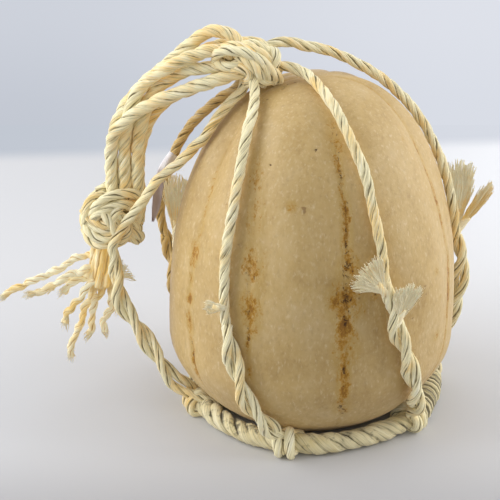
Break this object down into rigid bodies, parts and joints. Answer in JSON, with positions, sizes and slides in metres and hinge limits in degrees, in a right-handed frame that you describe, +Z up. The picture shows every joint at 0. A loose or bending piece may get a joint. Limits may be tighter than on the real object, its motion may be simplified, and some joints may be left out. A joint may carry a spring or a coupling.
{
  "type": "whole cheese in a rope sling",
  "caption": "Egg-shaped ribbed whole cheese standing on its flat spot in a rope sling, with a rope ring round its foot, legs tied in a crown knot, and a stiff knotted rope tail.",
  "frame": {"origin": "centre of the flat spot that the cheese stands on", "axes": "+Z up through the crown, -Y towards the front with the deepest stained groove, rope tail on the -X side"},
  "size_m": [0.3321, 0.2083, 0.2603],
  "materials": {
    "cheese_rind": "mottled tan rind, faintly waxy, with orange-brown stained grooves",
    "sling_rope": "pale straw plant-fibre rope, matt",
    "ring_rope": "thick pale plant-fibre rope, soiled grey between its strands",
    "loose_fibre": "unlaid golden straw fibre",
    "tag_paper": "plain crumpled off-white paper"
  },
  "bodies": {
    "root": {"cheese": "cheese_rind", "base_ring": "ring_rope", "leg_front_left": "sling_rope", "leg_front_left_splice": "sling_rope", "leg_front_right": "sling_rope", "leg_front_right_splice": "sling_rope", "leg_back_right": "sling_rope", "leg_back_right_splice": "sling_rope", "leg_back": "sling_rope", "leg_back_splice": "sling_rope", "leg_back_left": "sling_rope", "leg_back_left_splice": "sling_rope", "leg_left": "sling_rope", "leg_left_splice": "sling_rope", "fray_front_left": "loose_fibre", "fray_front_right_inner": "loose_fibre", "fray_front_right_outer": "loose_fibre", "fray_back_right_inner": "loose_fibre", "fray_back_right_outer": "loose_fibre", "fray_back": "loose_fibre", "fray_back_left": "loose_fibre", "fray_left": "loose_fibre", "handle_rope_1": "sling_rope", "handle_rope_2": "sling_rope", "handle_rope_3": "sling_rope", "handle_rope_4": "sling_rope", "handle_rope_5": "sling_rope", "handle_rope_6": "sling_rope", "top_knot": "sling_rope", "end_knot": "sling_rope", "fibre_skirt": "loose_fibre", "tail_1": "loose_fibre", "tail_2": "loose_fibre", "tail_3": "loose_fibre", "tail_4": "loose_fibre", "tail_5": "loose_fibre", "tail_6": "loose_fibre", "tail_7": "loose_fibre", "tail_8": "loose_fibre", "tail_9": "loose_fibre", "paper_tag": "tag_paper"}
  },
  "joints": []
}
